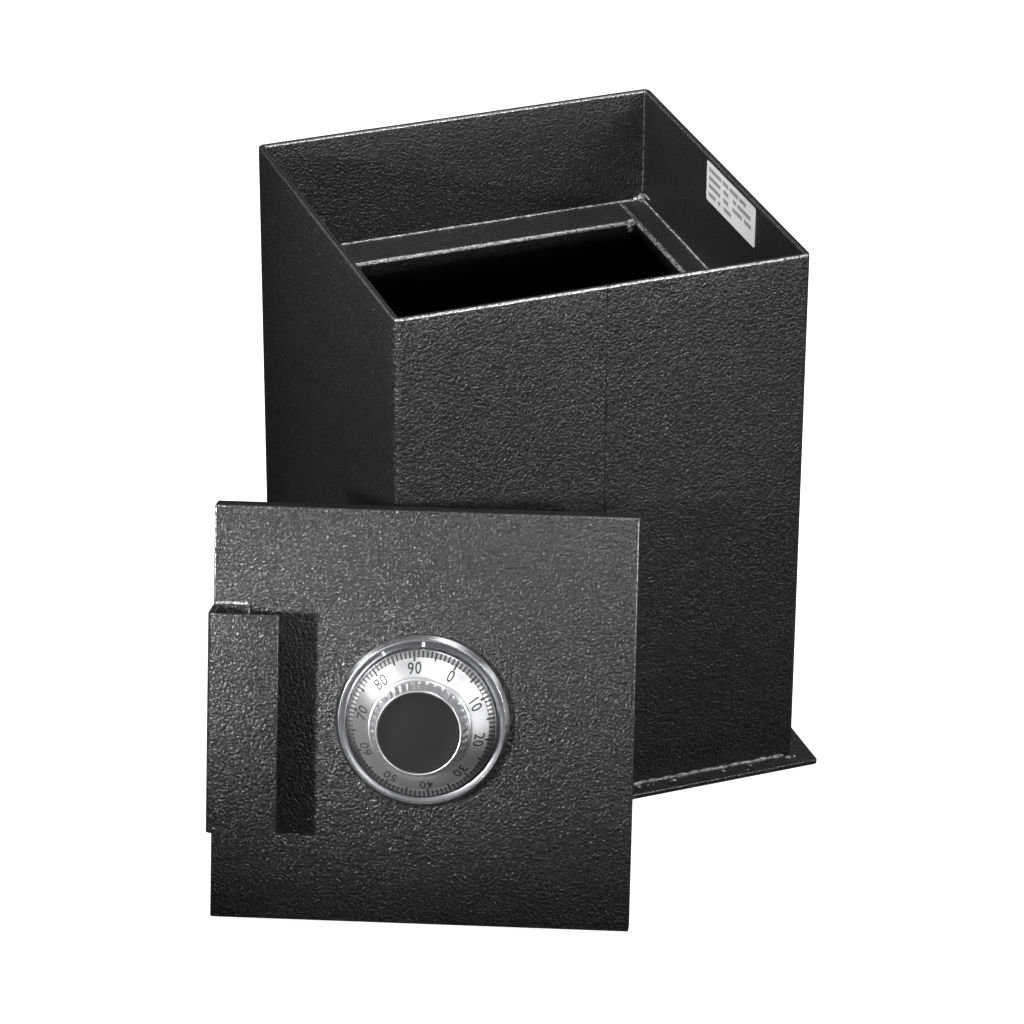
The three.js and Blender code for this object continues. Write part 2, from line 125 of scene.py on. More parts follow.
def ramp(nt, fac, stops):
    n = nt.nodes.new("ShaderNodeValToRGB")
    e = n.color_ramp.elements
    while len(e) < len(stops):
        e.new(0.5)
    for el, (p, c) in zip(e, stops):
        el.position = p
        c = (c, c, c) if isinstance(c, (int, float)) else c
        el.color = (*c, 1.0)
    nt.links.new(fac, n.inputs[0])
    return n.outputs["Color"]


def map_range(nt, v, a, b, c, d):
    n = nt.nodes.new("ShaderNodeMapRange")
    nt.links.new(v, n.inputs["Value"])
    for k, x in (("From Min", a), ("From Max", b), ("To Min", c), ("To Max", d)):
        n.inputs[k].default_value = x
    return n.outputs[0]


def bump(nt, height, strength, distance, under=None):
    n = nt.nodes.new("ShaderNodeBump")
    n.inputs["Strength"].default_value = strength
    n.inputs["Distance"].default_value = distance
    nt.links.new(height, n.inputs["Height"])
    if under is not None:
        nt.links.new(under, n.inputs["Normal"])
    return n.outputs[0]


def object_coords(nt):
    return nt.nodes.new("ShaderNodeTexCoord").outputs["Object"]


def hammertone(name, depth, lo, hi, rough, scale=1.0, gloss=0.6, metal=0.0):
    """Black hammered enamel: a glossy skin of small worm-like ridges over a dark metallic ground."""
    m, nt, b = new_material(name)
    v = object_coords(nt)
    worms = noise_tex(nt, v, 760 * scale, 1.5, 0.5, 0.5)
    pits = voronoi(nt, v, 640 * scale, 0.8)
    fine = noise_tex(nt, v, 1900 * scale, 2.0, 0.55)
    drift = noise_tex(nt, v, 14, 2.0, 0.5)
    worm_r = ramp(nt, worms, [(0.36, 0.0), (0.5, 0.55), (0.64, 1.0)])
    h = math_node(nt, "ADD", math_node(nt, "MULTIPLY", worm_r, 0.62), math_node(nt, "MULTIPLY", pits, 0.55))
    h = math_node(nt, "ADD", h, math_node(nt, "MULTIPLY", fine, 0.16))
    nt.links.new(bump(nt, h, 1.0, depth), b.inputs["Normal"])
    tone = math_node(nt, "ADD", math_node(nt, "MULTIPLY", worm_r, 0.8), math_node(nt, "MULTIPLY", drift, 0.3))
    nt.links.new(ramp(nt, tone, [(0.12, lo), (0.95, hi)]), b.inputs["Base Color"])
    r = math_node(nt, "ADD", math_node(nt, "MULTIPLY", fine, 0.16), rough - 0.08)
    nt.links.new(r, b.inputs["Roughness"])
    b.inputs["Metallic"].default_value = metal
    b.inputs["Specular IOR Level"].default_value = gloss
    return m


def turned_metal(name, colour, rough, groove, aniso=0.0, metallic=1.0, tone=0.12):
    """Turned metal: fine rings round the piece's own Z axis, with a little tone and gloss variation."""
    m, nt, b = new_material(name)
    v = object_coords(nt)
    sep = nt.nodes.new("ShaderNodeSeparateXYZ")
    nt.links.new(v, sep.inputs[0])
    r2 = math_node(nt, "ADD", math_node(nt, "MULTIPLY", sep.outputs[0], sep.outputs[0]), math_node(nt, "MULTIPLY", sep.outputs[1], sep.outputs[1]))
    radius = math_node(nt, "SQRT", r2)
    comb = nt.nodes.new("ShaderNodeCombineXYZ")
    nt.links.new(math_node(nt, "MULTIPLY", radius, 1.0), comb.inputs[0])
    nt.links.new(sep.outputs[2], comb.inputs[1])
    rings = noise_tex(nt, comb.outputs[0], 3300, 3.0, 0.6)
    wide = noise_tex(nt, comb.outputs[0], 700, 2.0, 0.5)
    smear = noise_tex(nt, v, 60, 3.0, 0.6)
    nt.links.new(bump(nt, rings, 1.0, groove), b.inputs["Normal"])
    k = math_node(nt, "ADD", math_node(nt, "MULTIPLY", wide, 0.6), math_node(nt, "MULTIPLY", smear, 0.4))
    c = tuple(colour)
    nt.links.new(ramp(nt, k, [(0.3, tuple(x * (1 - tone) for x in c)), (0.7, c)]), b.inputs["Base Color"])
    nt.links.new(map_range(nt, k, 0.3, 0.7, rough * 0.85, rough * 1.2), b.inputs["Roughness"])
    b.inputs["Metallic"].default_value = metallic
    if aniso:
        b.inputs["Anisotropic"].default_value = aniso
        t = nt.nodes.new("ShaderNodeTangent")
        t.direction_type = "RADIAL"
        t.axis = "Z"
        nt.links.new(t.outputs[0], b.inputs["Tangent"])
    return m


def grained_metal(name, colour, rough, metallic=1.0, scale=1.0, depth=0.00003, tone=0.2, stretch=(1, 1, 1)):
    """Plated, cast or rolled metal: speckled tone, uneven gloss and a slight skin."""
    m, nt, b = new_material(name)
    v = object_coords(nt)
    mp = nt.nodes.new("ShaderNodeMapping")
    mp.inputs["Scale"].default_value = stretch
    nt.links.new(v, mp.inputs["Vector"])
    v2 = mp.outputs[0]
    fine = noise_tex(nt, v2, 1800 * scale, 3.0, 0.6)
    mid = noise_tex(nt, v2, 260 * scale, 3.0, 0.55)
    big = noise_tex(nt, v, 45, 2.0, 0.5)
    k = math_node(nt, "ADD", math_node(nt, "MULTIPLY", mid, 0.55), math_node(nt, "MULTIPLY", big, 0.45))
    c = tuple(colour)
    nt.links.new(ramp(nt, k, [(0.3, tuple(x * (1 - tone) for x in c)), (0.7, c)]), b.inputs["Base Color"])
    nt.links.new(map_range(nt, k, 0.3, 0.7, rough * 0.8, rough * 1.25), b.inputs["Roughness"])
    h = math_node(nt, "ADD", math_node(nt, "MULTIPLY", fine, 0.5), math_node(nt, "MULTIPLY", mid, 0.5))
    nt.links.new(bump(nt, h, 1.0, depth), b.inputs["Normal"])
    b.inputs["Metallic"].default_value = metallic
    return m


def matte(name, lo, hi, rough, scale=900.0, depth=0.00002, sheen=0.5):
    m, nt, b = new_material(name)
    v = object_coords(nt)
    fine = noise_tex(nt, v, scale, 3.0, 0.6)
    big = noise_tex(nt, v, 70, 2.0, 0.5)
    k = math_node(nt, "ADD", math_node(nt, "MULTIPLY", fine, 0.5), math_node(nt, "MULTIPLY", big, 0.5))
    nt.links.new(ramp(nt, k, [(0.3, lo), (0.7, hi)]), b.inputs["Base Color"])
    nt.links.new(map_range(nt, k, 0.3, 0.7, rough * 0.9, min(1.0, rough * 1.15)), b.inputs["Roughness"])
    nt.links.new(bump(nt, fine, 1.0, depth), b.inputs["Normal"])
    b.inputs["Metallic"].default_value = 0.0
    b.inputs["Specular IOR Level"].default_value = sheen
    return m


MAT = {
    "hammer": hammertone("hammertone", 0.00058, 0.002, 0.009, 0.33, 1.04),
    # slightly darker, less glossy copy of the hammertone for the inner walls: painted shade
    "hammer_in_shaded": hammertone("hammertone_inner_shaded", 0.00030, 0.002, 0.007, 0.35, 1.1, 0.48),
    # weld paint much lighter than the hammertone on the painted-over welds: painted highlight
    "weld": hammertone("hammertone_weld_highlight", 0.00010, 0.05, 0.42, 0.24, 0.8, 0.9, 0.15),
    # lighter paint for the ledge tops: painted sheen on the up-facing surface
    "ledge": hammertone("hammertone_ledge_sheen", 0.00040, 0.008, 0.034, 0.34),
    # much lighter paint for rounded arrises: painted highlight
    "arris_highlight": hammertone("hammertone_arris_highlight", 0.00010, 0.03, 0.34, 0.24, 0.9, 1.0, 0.2),
    # lighter, glossier paint for rounded edges and inner bends: painted highlight
    "edge": hammertone("hammertone_edge_highlight", 0.00012, 0.006, 0.045, 0.22, 0.9, 1.0),
    "chrome": turned_metal("ring_chrome", (0.50, 0.50, 0.51), 0.27, 0.000004),
    # darker copy of the ring metal for its inner band: painted shade
    "ring_band_shaded": turned_metal("ring_band_shaded", (0.26, 0.26, 0.27), 0.30, 0.000005),
    # darker copy of the dial metal for its graduation band: painted shade
    "dial_band_shaded": turned_metal("dial_band_shaded", (0.62, 0.62, 0.63), 0.27, 0.000005, tone=0.06),
    "knob": turned_metal("knob_chrome", (0.80, 0.80, 0.81), 0.30, 0.000003, metallic=0.92),
    "satin": turned_metal("dial_satin", (0.80, 0.80, 0.81), 0.36, 0.000008, aniso=0.5, metallic=0.9, tone=0.06),
    "ink": matte("dial_ink", 0.012, 0.02, 0.5),
    "figure_ink": matte("figure_ink", 0.020, 0.035, 0.5),
    "white_ink": matte("index_white", 0.80, 0.88, 0.5),
    "cap": matte("cap_matte", 0.006, 0.009, 0.62, sheen=0.19),
    "paper": matte("label_paper", 0.28, 0.33, 0.6),
    "bars": matte("label_bars", 0.09, 0.13, 0.7),
    "zinc": grained_metal("cast_zinc", (0.42, 0.42, 0.41), 0.42, depth=0.00006),
    "zinc_cover": grained_metal("pressed_cover", (0.50, 0.49, 0.46), 0.34, depth=0.00003, stretch=(1, 1, 6)),
    "steel": grained_metal("zinc_plate", (0.55, 0.55, 0.53), 0.30, depth=0.00002),
    "hard": grained_metal("hardened_steel", (0.13, 0.125, 0.12), 0.38, depth=0.00004, tone=0.35),
    "brass": grained_metal("brass", (0.60, 0.43, 0.16), 0.26, depth=0.00001),
    "screw": grained_metal("screw_steel", (0.48, 0.48, 0.47), 0.25, depth=0.00001),
}

# ------------------------------------------------------------------ helpers


def finish_piece(name, bm, mats, M, body, smooth=32.0, replaces=(), recalc=True):
    if recalc:
        bmesh.ops.recalc_face_normals(bm, faces=bm.faces[:])
    me = bpy.data.meshes.new(name)
    bm.to_mesh(me)
    bm.free()
    me.transform(Matrix.Scale(MM, 4))
    for m in mats if isinstance(mats, (list, tuple)) else [mats]:
        me.materials.append(MAT[m])
    if smooth:
        me.shade_smooth()
        me.set_sharp_from_angle(angle=math.radians(smooth))
    ob = bpy.data.objects.new(name, me)
    bpy.context.scene.collection.objects.link(ob)
    ob.matrix_world = M
    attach(ob, body)
    if replaces:
        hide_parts(*replaces)
    return ob


def lathe(bm, profile, n, mat=0, shift=(0, 0)):
    """Adds a closed turned body about Z from [radius, z] points that start and end on the axis, or close on themselves."""
    closed = profile[0][0] > 1e-6
    rings = []
    for r, z in profile[: -1 if closed else None]:
        if r < 1e-6:
            rings.append([bm.verts.new((shift[0], shift[1], z))])
        else:
            rings.append([bm.verts.new((shift[0] + r * math.cos(2 * math.pi * i / n), shift[1] + r * math.sin(2 * math.pi * i / n), z)) for i in range(n)])
    pairs = list(zip(rings, rings[1:])) + ([(rings[-1], rings[0])] if closed else [])
    for a, b in pairs:
        for i in range(n):
            j = (i + 1) % n
            q = [a[i % len(a)], a[j % len(a)], b[j % len(b)], b[i % len(b)]]
            q = [v for k, v in enumerate(q) if v not in q[:k]]
            if len(q) > 2:
                bm.faces.new(q).material_index = mat


def arc(cx, cz, r, a0, a1, n):
    return [(cx + r * math.cos(math.radians(a0 + (a1 - a0) * i / n)), cz + r * math.sin(math.radians(a0 + (a1 - a0) * i / n))) for i in range(n + 1)]


def prism(bm, outline, a, b, place):
    """Adds a closed prism of an outline between two stations; place(u, v, w) gives the vertex."""
    lo = [bm.verts.new(place(u, v, a)) for u, v in outline]
    hi = [bm.verts.new(place(u, v, b)) for u, v in outline]
    n = len(outline)
    faces = [bm.faces.new(lo), bm.faces.new(list(reversed(hi)))]
    for i in range(n):
        j = (i + 1) % n
        faces.append(bm.faces.new((lo[j], lo[i], hi[i], hi[j])))
    return faces


def round_edges(bm, width, segments=2, angle=35.0, mat=0):
    bmesh.ops.recalc_face_normals(bm, faces=bm.faces[:])
    edges = [e for e in bm.edges if len(e.link_faces) == 2 and e.calc_face_angle(0) > math.radians(angle)]
    made = bmesh.ops.bevel(bm, geom=edges, offset=width, segments=segments, profile=0.5, affect="EDGES", clamp_overlap=True)
    for f in made["faces"]:
        f.material_index = mat


def block(bm, x0, x1, y0, y1, z0, z1):
    vs = [bm.verts.new((x, y, z)) for z in (z0, z1) for y in (y0, y1) for x in (x0, x1)]
    for f in ((0, 1, 3, 2), (4, 6, 7, 5), (0, 4, 5, 1), (2, 3, 7, 6), (0, 2, 6, 4), (1, 5, 7, 3)):
        bm.faces.new([vs[i] for i in f])


def bead(bm, path, radius, pitch, amp, seed, sides=10, closed=False, flat=1.0):
    """Adds a weld bead: a tube along a path, swelling at every ripple. Distances in mm."""
    pts = [Vector(p) for p in path]
    s, total = [0.0], 0.0
    for a, b in zip(pts, pts[1:]):
        total += (b - a).length
        s.append(total)
    rings = []
    for i, p in enumerate(pts):
        if closed:
            t = pts[(i + 1) % len(pts)] - pts[i - 1]
        else:
            t = pts[min(i + 1, len(pts) - 1)] - pts[max(i - 1, 0)]
        t.normalize()
        a = Vector((0, 0, 1)) if abs(t.z) < 0.9 else Vector((1, 0, 0))
        b1 = t.cross(a).normalized()
        b2 = b1.cross(t).normalized()
        w = abs(math.sin(math.pi * s[i] / pitch)) ** 0.7
        r = radius * (1 - amp + amp * w) * (1 + 0.16 * noise.noise(Vector((s[i] * 0.21, seed, 0.3))))
        off = b2 * 0.25 * radius * noise.noise(Vector((s[i] * 0.11, seed + 5.0, 1.7)))
        rings.append([bm.verts.new(p + off + (b1 * math.cos(2 * math.pi * k / sides) * flat + b2 * math.sin(2 * math.pi * k / sides)) * r) for k in range(sides)])
    pairs = list(zip(rings, rings[1:])) + ([(rings[-1], rings[0])] if closed else [])
    for a, b in pairs:
        for k in range(sides):
            bm.faces.new((a[k], a[(k + 1) % sides], b[(k + 1) % sides], b[k]))
    if not closed:
        bm.faces.new(rings[0])
        bm.faces.new(list(reversed(rings[-1])))


def line(p0, p1, step=0.5):
    a, b = Vector(p0), Vector(p1)
    n = max(2, int((b - a).length / step))
    return [a.lerp(b, i / n) for i in range(n + 1)]


def lump(bm, centre, size, seed, rough=0.25, level=3):
    """Adds one weld lump: an uneven, flattened drop."""
    made = bmesh.ops.create_icosphere(bm, subdivisions=level, radius=1.0)
    for v in made["verts"]:
        d = 1 + rough * noise.noise(v.co * 1.6 + Vector((seed, seed * 0.7, 2.1)))
        v.co = Vector((v.co.x * size[0] * d, v.co.y * size[1] * d, v.co.z * size[2] * d)) + Vector(centre)


def loop_points(half, r, k=8, seam=None):
    """Rounded square, anticlockwise from the front left, with the same count for every inset."""
    pts = []
    xs = [-60.0, -20.0, -3.5, -1.6, -0.5, 0.0, 0.5, 1.6, 3.5, 20.0, 60.0]
    ys = [0.0, 0.0, 0.0, -0.16, -0.20, 0.32, -0.24, -0.18, 0.0, 0.0, 0.0]
    for x, y in zip(xs, ys):
        pts.append((1.0 + x, -half + (y if seam else 0.0)))
    for cx, cy, a0 in ((half - r, -half + r, -90), (half - r, half - r, 0), (-half + r, half - r, 90), (-half + r, -half + r, 180)):
        if a0 == 0:
            pts += [(half, t) for t in (-60.0, 0.0, 60.0)]
        if a0 == 90:
            pts += [(t, half) for t in (60.0, 0.0, -60.0)]
        if a0 == 180:
            pts += [(-half, t) for t in (60.0, 0.0, -60.0)]
        pts += [(cx + r * math.cos(math.radians(a0 + 90 * i / k)), cy + r * math.sin(math.radians(a0 + 90 * i / k))) for i in range(k + 1)]
    return pts


# --------------------------------------------------------------------- body
BODY_W, BODY_H, WALL, BEND_R, BEND_IN = 217.0, 290.0, 3.2, 3.6, 0.8
FLANGE_W, FLANGE_T = 237.0, 2.6
SEAT_TOP, SEAT_T, SEAT_SIDE, SEAT_END = 227.4, 8.0, 14.0, 25.0
IN = BODY_W / 2 - WALL


def make_shell():
    bm = bmesh.new()
    f = 0.95
    rings = []
    zs = [FLANGE_T, 40, 90, 150, 220, 270]
    for z in zs:
        rings.append((0.0, z, 0))
    for i in range(5):
        a = math.radians(90 * i / 4)
        rings.append((f * (1 - math.cos(a)), BODY_H - f + f * math.sin(a), 0))
    for i in range(5):
        a = math.radians(90 * i / 4)
        rings.append((WALL - f + f * math.sin(a), BODY_H - f + f * math.cos(a), 0 if i < 3 else 1))
    for z in reversed(zs):
        rings.append((WALL, z, 1))
    loops = []
    for d, z, inner in rings:
        pts = loop_points(BODY_W / 2 - d, max(BEND_R - d, BEND_IN), 8, seam=not inner)
        # the sheared rim is a hair uneven
        out = []
        for k, (x, y) in enumerate(pts):
            dz = 0.10 * noise.noise(Vector((x * 0.03, y * 0.03, 0.4))) if z > BODY_H - 2 else 0.0
            out.append(bm.verts.new((x, y, z + dz)))
        loops.append((out, inner))
    n = len(loops[0][0])
    m = len(loops)
    for q in range(m):
        a, ia = loops[q]
        b, ib = loops[(q + 1) % m]
        for i in range(n):
            j = (i + 1) % n
            turn = len(zs) <= q < len(zs) + 4 or len(zs) + 5 <= q < len(zs) + 9
            face = bm.faces.new((a[i], a[j], b[j], b[i]))
            # lighter paint as a painted highlight on the front arris and on the inner arris at the back; lighter,
            # glossier paint as a painted highlight on the other rim roundings and in the bends
            y = (a[i].co.y + a[j].co.y) / 2
            arris_highlight = turn and ((not ia and y < -BODY_W / 2 + 1.5) or (ia and y > BODY_W / 2 - WALL - 0.6))
            bend = ia and ib and any(k <= i < k + 8 for k in (11, 23, 35, 47))
            face.material_index = 3 if arris_highlight else 2 if turn or bend else 1 if (ia and ib) else 0
    return finish_piece("shell_sheet", bm, ["hammer", "hammer_in_shaded", "edge", "arris_highlight"], M_WORLD, "box", 40, ["body_shell"])


def rounded_outline(w, r, k=4):
    h = w / 2
    pts = []
    for cx, cy, a0 in ((h - r, -h + r, -90), (h - r, h - r, 0), (-h + r, h - r, 90), (-h + r, -h + r, 180)):
        pts += [(cx + r * math.cos(math.radians(a0 + 90 * i / k)), cy + r * math.sin(math.radians(a0 + 90 * i / k))) for i in range(k + 1)]
    return pts


make_shell()

bm = bmesh.new()
prism(bm, rounded_outline(FLANGE_W, 2.0), 0.0, FLANGE_T, lambda u, v, w: (u, v, w))
# the flange's rounded edges take the lighter edge paint: painted highlight
round_edges(bm, 0.55, 3, 60, 1)
finish_piece("flange_plate", bm, ["hammer", "edge"], M_WORLD, "box", 40, ["base_flange"])

# ledge bars with a rolled inner edge
xs, ys, inner = IN - SEAT_SIDE, IN - SEAT_END, IN - 0.2
c = BEND_IN


def bar(name, outline, node_name, edge_test):
    bm = bmesh.new()
    prism(bm, outline, SEAT_TOP - SEAT_T, SEAT_TOP, lambda u, v, w: (u, v, w))
    bmesh.ops.recalc_face_normals(bm, faces=bm.faces[:])
    top = [e for e in bm.edges if all(v.co.z > SEAT_TOP - 0.01 for v in e.verts) and edge_test(e)]
    # the rolled inner edge takes the much lighter arris paint as a painted highlight
    made = bmesh.ops.bevel(bm, geom=top, offset=1.7, segments=5, profile=0.5, affect="EDGES", clamp_overlap=True)
    for f in made["faces"]:
        f.material_index = 1
    bm.normal_update()
    # the top faces keep index 0, the lighter ledge paint as a painted sheen; sides and bottom take the inner paint
    for f in bm.faces:
        if abs(f.normal.z) < 0.15 or f.normal.z < -0.5:
            f.material_index = 2
    return finish_piece(name, bm, ["ledge", "arris_highlight", "hammer_in_shaded"], M_WORLD, "box", 40, [node_name])


for s, nm in ((1, "right"), (-1, "left")):
    pts = [(s * xs, -inner), (s * (inner - c), -inner), (s * inner, -inner + c), (s * inner, inner - c), (s * (inner - c), inner), (s * xs, inner)]
    bar(f"ledge_{nm}", pts, f"seat_bar_{nm}", lambda e, s=s: all(abs(v.co.x - s * xs) < 0.01 for v in e.verts))
for s, nm in ((1, "back"), (-1, "front")):
    pts = [(-xs + 0.2, s * ys), (xs - 0.2, s * ys), (xs - 0.2, s * inner), (-xs + 0.2, s * inner)]
    bar(f"ledge_{nm}", pts, f"seat_bar_{nm}", lambda e, s=s: all(abs(v.co.y - s * ys) < 0.01 for v in e.verts))

# weld beads: ledge to wall, body to flange, and lumps where a bead stops, in a weld paint much lighter than the
# hammertone as a painted highlight
bm = bmesh.new()
g = IN - 0.35
zz = SEAT_TOP + 0.15
bead(bm, line((-g + 3.4, g, zz), (g - 3.4, g, zz)), 0.75, 6.0, 0.22, 1.0)
bead(bm, line((g, g - 3.4, zz), (g, -g + 3.4, zz)), 0.62, 7.0, 0.18, 2.0)
bead(bm, line((-g, -g + 3.4, zz), (-g, g - 3.4, zz)), 0.62, 7.0, 0.18, 3.0)
bead(bm, line((g - 3.4, -g, zz), (-g + 3.4, -g, zz)), 0.75, 6.0, 0.22, 4.0)
lump(bm, (IN - 1.6, IN - 1.6, SEAT_TOP + 1.4), (2.3, 2.3, 2.4), 3.0)
lump(bm, (IN - 3.4, IN - 0.4, SEAT_TOP + 0.7), (2.2, 1.0, 1.1), 8.0)
lump(bm, (IN - 0.4, IN - 6.5, SEAT_TOP + 4.0), (0.55, 4.6, 0.6), 5.0)
lump(bm, (-IN + 1.6, IN - 1.6, SEAT_TOP + 0.8), (1.7, 1.7, 1.5), 6.0)
lump(bm, (-IN + 1.6, -IN + 1.6, SEAT_TOP + 0.8), (1.7, 1.7, 1.5), 7.0)
lump(bm, (IN - 1.6, -IN + 1.6, SEAT_TOP + 0.8), (1.7, 1.7, 1.5), 9.0)
finish_piece("ledge_welds", bm, "weld", M_WORLD, "box", 60)

# corner welds in the lighter weld paint: painted highlight
bm = bmesh.new()
for sx in (1, -1):
    for sy in (1, -1):
        # the butt joints between the bars, ground off, with a run at the hole's corner
        bead(bm, line((sx * (xs + 0.1), sy * (ys + 1.5), SEAT_TOP - 0.35), (sx * (xs + 0.1), sy * (inner - 2), SEAT_TOP - 0.35), 0.7), 0.55, 5.0, 0.2, 11.0 + sx + 3 * sy)
lump(bm, (xs - 2.2, ys + 0.2, SEAT_TOP - 0.5), (3.0, 2.2, 2.0), 1.4, 0.3)
lump(bm, (xs - 3.4, ys - 0.6, SEAT_TOP - 3.2), (1.3, 1.1, 2.6), 2.4, 0.3)
lump(bm, (xs - 0.6, ys + 0.9, SEAT_TOP - 0.6), (1.9, 1.3, 1.1), 3.4, 0.3)
lump(bm, (-xs + 1.6, ys + 0.2, SEAT_TOP - 1.0), (1.9, 1.3, 1.2), 4.4, 0.3)
lump(bm, (-xs + 1.6, -ys - 0.2, SEAT_TOP - 1.0), (1.9, 1.3, 1.2), 5.4, 0.3)
lump(bm, (xs - 1.6, -ys - 0.2, SEAT_TOP - 1.0), (1.9, 1.3, 1.2), 6.4, 0.3)
finish_piece("ledge_corner_welds", bm, "weld", M_WORLD, "box", 60)

bm = bmesh.new()
o = BODY_W / 2 + 0.35
zb = FLANGE_T + 0.2
for (p0, p1, sd) in (((-o + 6, -o, zb), (o - 6, -o, zb), 21), ((o, -o + 6, zb), (o, o - 6, zb), 22), ((o - 6, o, zb), (-o + 6, o, zb), 23), ((-o, o - 6, zb), (-o, -o + 6, zb), 24)):
    bead(bm, line(p0, p1, 0.4), 1.25, 7.6, 0.50, float(sd), 10)
finish_piece("base_weld", bm, "weld", M_WORLD, "box", 60)

bm = bmesh.new()
# spatter lumps in the lighter weld paint: painted highlights
for k, (x, y, sx) in enumerate(((21, -111.8, 1.5), (26, -111.9, 0.9), (29, -112.0, 0.7), (38, -112.2, 0.8), (40.5, -112.0, 1.5), (68, -112.2, 1.2), (83, -111.8, 1.2), (104.6, -111.2, 2.0), (108.0, -111.6, 0.9), (80, -115.6, 0.7), (-30, -112.0, 1.2), (-66, -111.9, 1.4), (-92, -112.1, 1.0))):
    lump(bm, (x, y, FLANGE_T + 0.15), (sx, 0.62 * sx + 0.15, 0.55), 31.0 + k, 0.3, 2)
for k in range(26):
    side = RNG.choice((0, 1, 2))
    t = RNG.uniform(-98, 98)
    d = RNG.uniform(110.6, 113.6)
    x, y = ((d, t), (-d, t), (t, d))[side]
    lump(bm, (x, y, FLANGE_T + 0.1), (RNG.uniform(0.5, 1.1), RNG.uniform(0.5, 1.0), 0.45), 60.0 + k, 0.3, 2)
finish_piece("weld_spatter", bm, "weld", M_WORLD, "box", 60)

bm = bmesh.new()
lump(bm, (-1.4, -BODY_W / 2 - 0.05, BODY_H - 5.2), (1.5, 0.5, 0.9), 3.3, 0.3, 2)
lump(bm, (0.4, -BODY_W / 2 - 0.05, BODY_H - 1.6), (1.7, 0.45, 1.0), 5.3, 0.3, 2)
lump(bm, (2.2, -BODY_W / 2 - 0.02, BODY_H - 12.5), (0.8, 0.35, 2.0), 7.3, 0.3, 2)
for k in range(16):
    z = 12 + k * 16.5 + RNG.uniform(-5, 5)
    lump(bm, (1.0 + RNG.choice((-2.2, 2.4)) + RNG.uniform(-0.4, 0.4), -BODY_W / 2 + 0.05, z), (0.5, 0.28, RNG.uniform(1.2, 3.2)), 9.3 + k, 0.3, 2)
finish_piece("seam_weld", bm, "hammer", M_WORLD, "box", 60)

# label: a thin rounded sticker with plain grey bars in place of its print
lx = IN
ly, lz = -13.9, 276.6
bm = bmesh.new()
pts = []
for cx, cy, a0 in ((31.75 - 1.2, -11 + 1.2, -90), (31.75 - 1.2, 11 - 1.2, 0), (-31.75 + 1.2, 11 - 1.2, 90), (-31.75 + 1.2, -11 + 1.2, 180)):
    pts += [(cx + 1.2 * math.cos(math.radians(a0 + 18 * i)), cy + 1.2 * math.sin(math.radians(a0 + 18 * i))) for i in range(6)]
prism(bm, pts, lx - 0.34, lx - 0.06, lambda u, v, w: (w, ly + u, lz + v))
finish_piece("label_sheet", bm, "paper", M_WORLD, "box", 30, ["serial_label"])
bm = bmesh.new()
rows = [
    (7.2, [(-28.5, -12.5), (-10.8, -3.2), (-1.4, 9.5), (11.2, 19.5)]),
    (2.6, [(-28.5, -13.5), (-9.5, -3.0), (3.0, 7.2), (9.0, 26.0)]),
    (-2.0, [(-28.5, -13.5), (-9.5, -3.0), (3.0, 15.0), (18.0, 27.0)]),
    (-6.6, [(-28.5, -19.5), (-16.2, -13.0), (-8.5, 1.0)]),
]
for v, spans in rows:
    for a, b in spans:
        # left end of the print is towards the back wall
        pts = [(-a, v - 1.15), (-b, v - 1.15), (-b, v + 1.15), (-a, v + 1.15)]
        prism(bm, pts, lx - 0.40, lx - 0.30, lambda u, w, t: (t, ly + u, lz + w))
finish_piece("label_print", bm, "bars", M_WORLD, "box", 0)

# --------------------------------------------------------------------- door
H = 102.75


def cylinder_cutter(bm, x, z, r, y0, y1, n):
    lathe(bm, [(0, y0), (r, y0), (r, y1), (0, y1)], n)


def boolean(ob, cutter_mesh):
    cut = bpy.data.objects.new("cutter", cutter_mesh)
    bpy.context.scene.collection.objects.link(cut)
    mod = ob.modifiers.new("cut", "BOOLEAN")
    mod.operation = "DIFFERENCE"
    mod.solver = "EXACT"
    mod.object = cut
    bpy.context.view_layer.update()
    dg = bpy.context.evaluated_depsgraph_get()
    me = bpy.data.meshes.new_from_object(ob.evaluated_get(dg))
    ob.modifiers.clear()
    old = ob.data
    ob.data = me
    me.name = old.name
    bpy.data.objects.remove(cut)
    return ob


def cut_cylinders(name, holes, extra=None):
    """Joined cutter mesh of cylinders along Y of the door frame; (x, z, r, y0, y1, n)."""
    bm = bmesh.new()
    for x, z, r, y0, y1, n in holes:
        a = [bm.verts.new((x + r * math.cos(2 * math.pi * i / n), y0, z + r * math.sin(2 * math.pi * i / n))) for i in range(n)]
        b = [bm.verts.new((x + r * math.cos(2 * math.pi * i / n), y1, z + r * math.sin(2 * math.pi * i / n))) for i in range(n)]
        bm.faces.new(a)
        bm.faces.new(list(reversed(b)))
        for i in range(n):
            j = (i + 1) % n
            bm.faces.new((a[j], a[i], b[i], b[j]))
    if extra:
        extra(bm)
    bmesh.ops.recalc_face_normals(bm, faces=bm.faces[:])
    me = bpy.data.meshes.new(name)
    bm.to_mesh(me)
    bm.free()
    me.transform(Matrix.Scale(MM, 4))
    me.transform(M_DOOR)
    return me


bm = bmesh.new()
block(bm, -H, H, -T_DOOR, 0.0, -H, H)
# the slab's rounded edges take the lighter edge paint: painted highlight
round_edges(bm, 0.75, 3, 60, 1)
plate = finish_piece("door_slab", bm, ["hammer", "edge"], M_DOOR, "door", 0, ["door_plate"])
holes = [(0, 0, 5.2, -T_DOOR - 1, 1, 32)]
holes += [(x, z, 3.4, -9, 1, 20) for x, z in ((-46.5, 24.5), (24.5, 24.5), (24.5, -24.5), (64, 18), (64, -18))]
holes += [(x, z, 2.4, -8, 1, 20) for x, z in ((-80, 33.5), (-80, -33.5))]
boolean(plate, cut_cylinders("plate_holes", holes))
plate.data.shade_smooth()
plate.data.set_sharp_from_angle(angle=math.radians(40))

